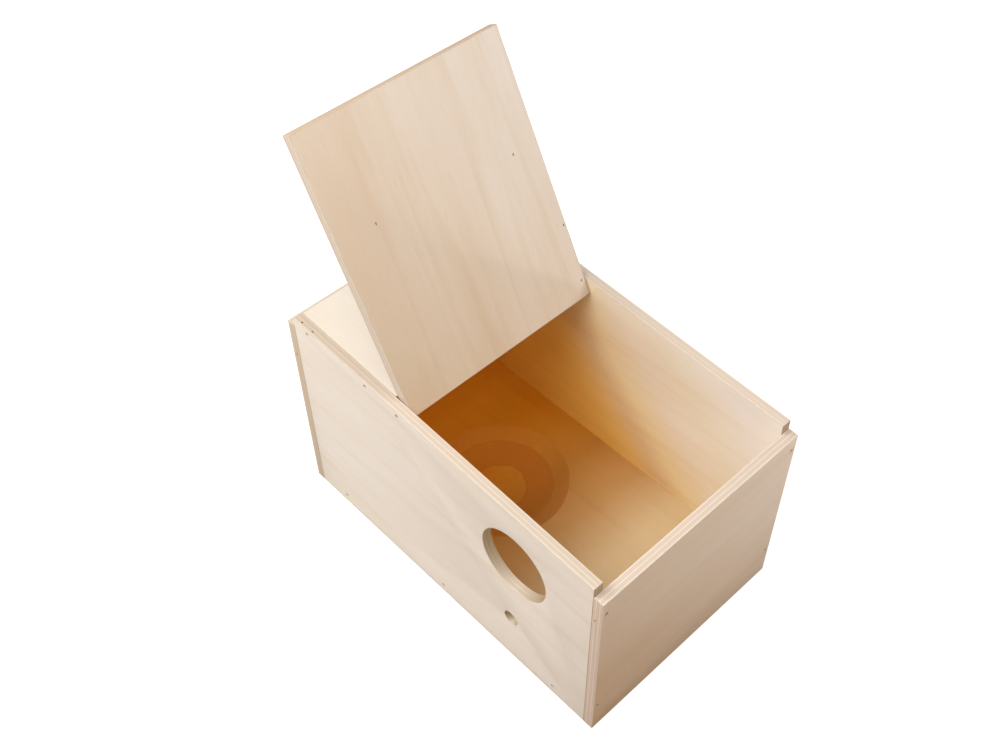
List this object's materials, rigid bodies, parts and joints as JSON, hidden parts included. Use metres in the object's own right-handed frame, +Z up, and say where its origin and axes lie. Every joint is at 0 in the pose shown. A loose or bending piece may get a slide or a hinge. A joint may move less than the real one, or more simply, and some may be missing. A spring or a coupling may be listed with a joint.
{
  "type": "birdhouse",
  "caption": "Plywood nest box for small cage birds, with a round side entrance, a perch hole, a hollowed floor, a fixed roof over the nest end and a lid that swings up and leans back on it.",
  "frame": {"origin": "centre of the box's footprint, on the surface it stands on", "axes": "+X from the nest end to the lid end, -Y out of the side with the entrance, +Z up"},
  "size_m": [0.25, 0.153, 0.2855],
  "materials": {
    "birch_plywood": "sanded, unfinished",
    "floor_wood": "sanded, unfinished",
    "nail_steel": "bright wire"
  },
  "bodies": {
    "box": {"front_wall": "birch_plywood", "back_wall": "birch_plywood", "nest_end_panel": "birch_plywood", "lid_end_panel": "birch_plywood", "roof_panel": "birch_plywood", "floor_board": "floor_wood", "hinge_nails": "nail_steel", "lid_end_brads": "nail_steel", "nest_end_brads": "nail_steel", "floor_brads": "nail_steel", "roof_brads": "nail_steel"},
    "lid": {"lid_panel": "birch_plywood"}
  },
  "joints": [
    {"name": "lid_hinge", "type": "hinge", "parent": "box", "child": "lid", "pos_m": [-0.02869, 0, 0.1428], "axis": [0, 1, 0], "range_deg": [0, 121]}
  ]
}
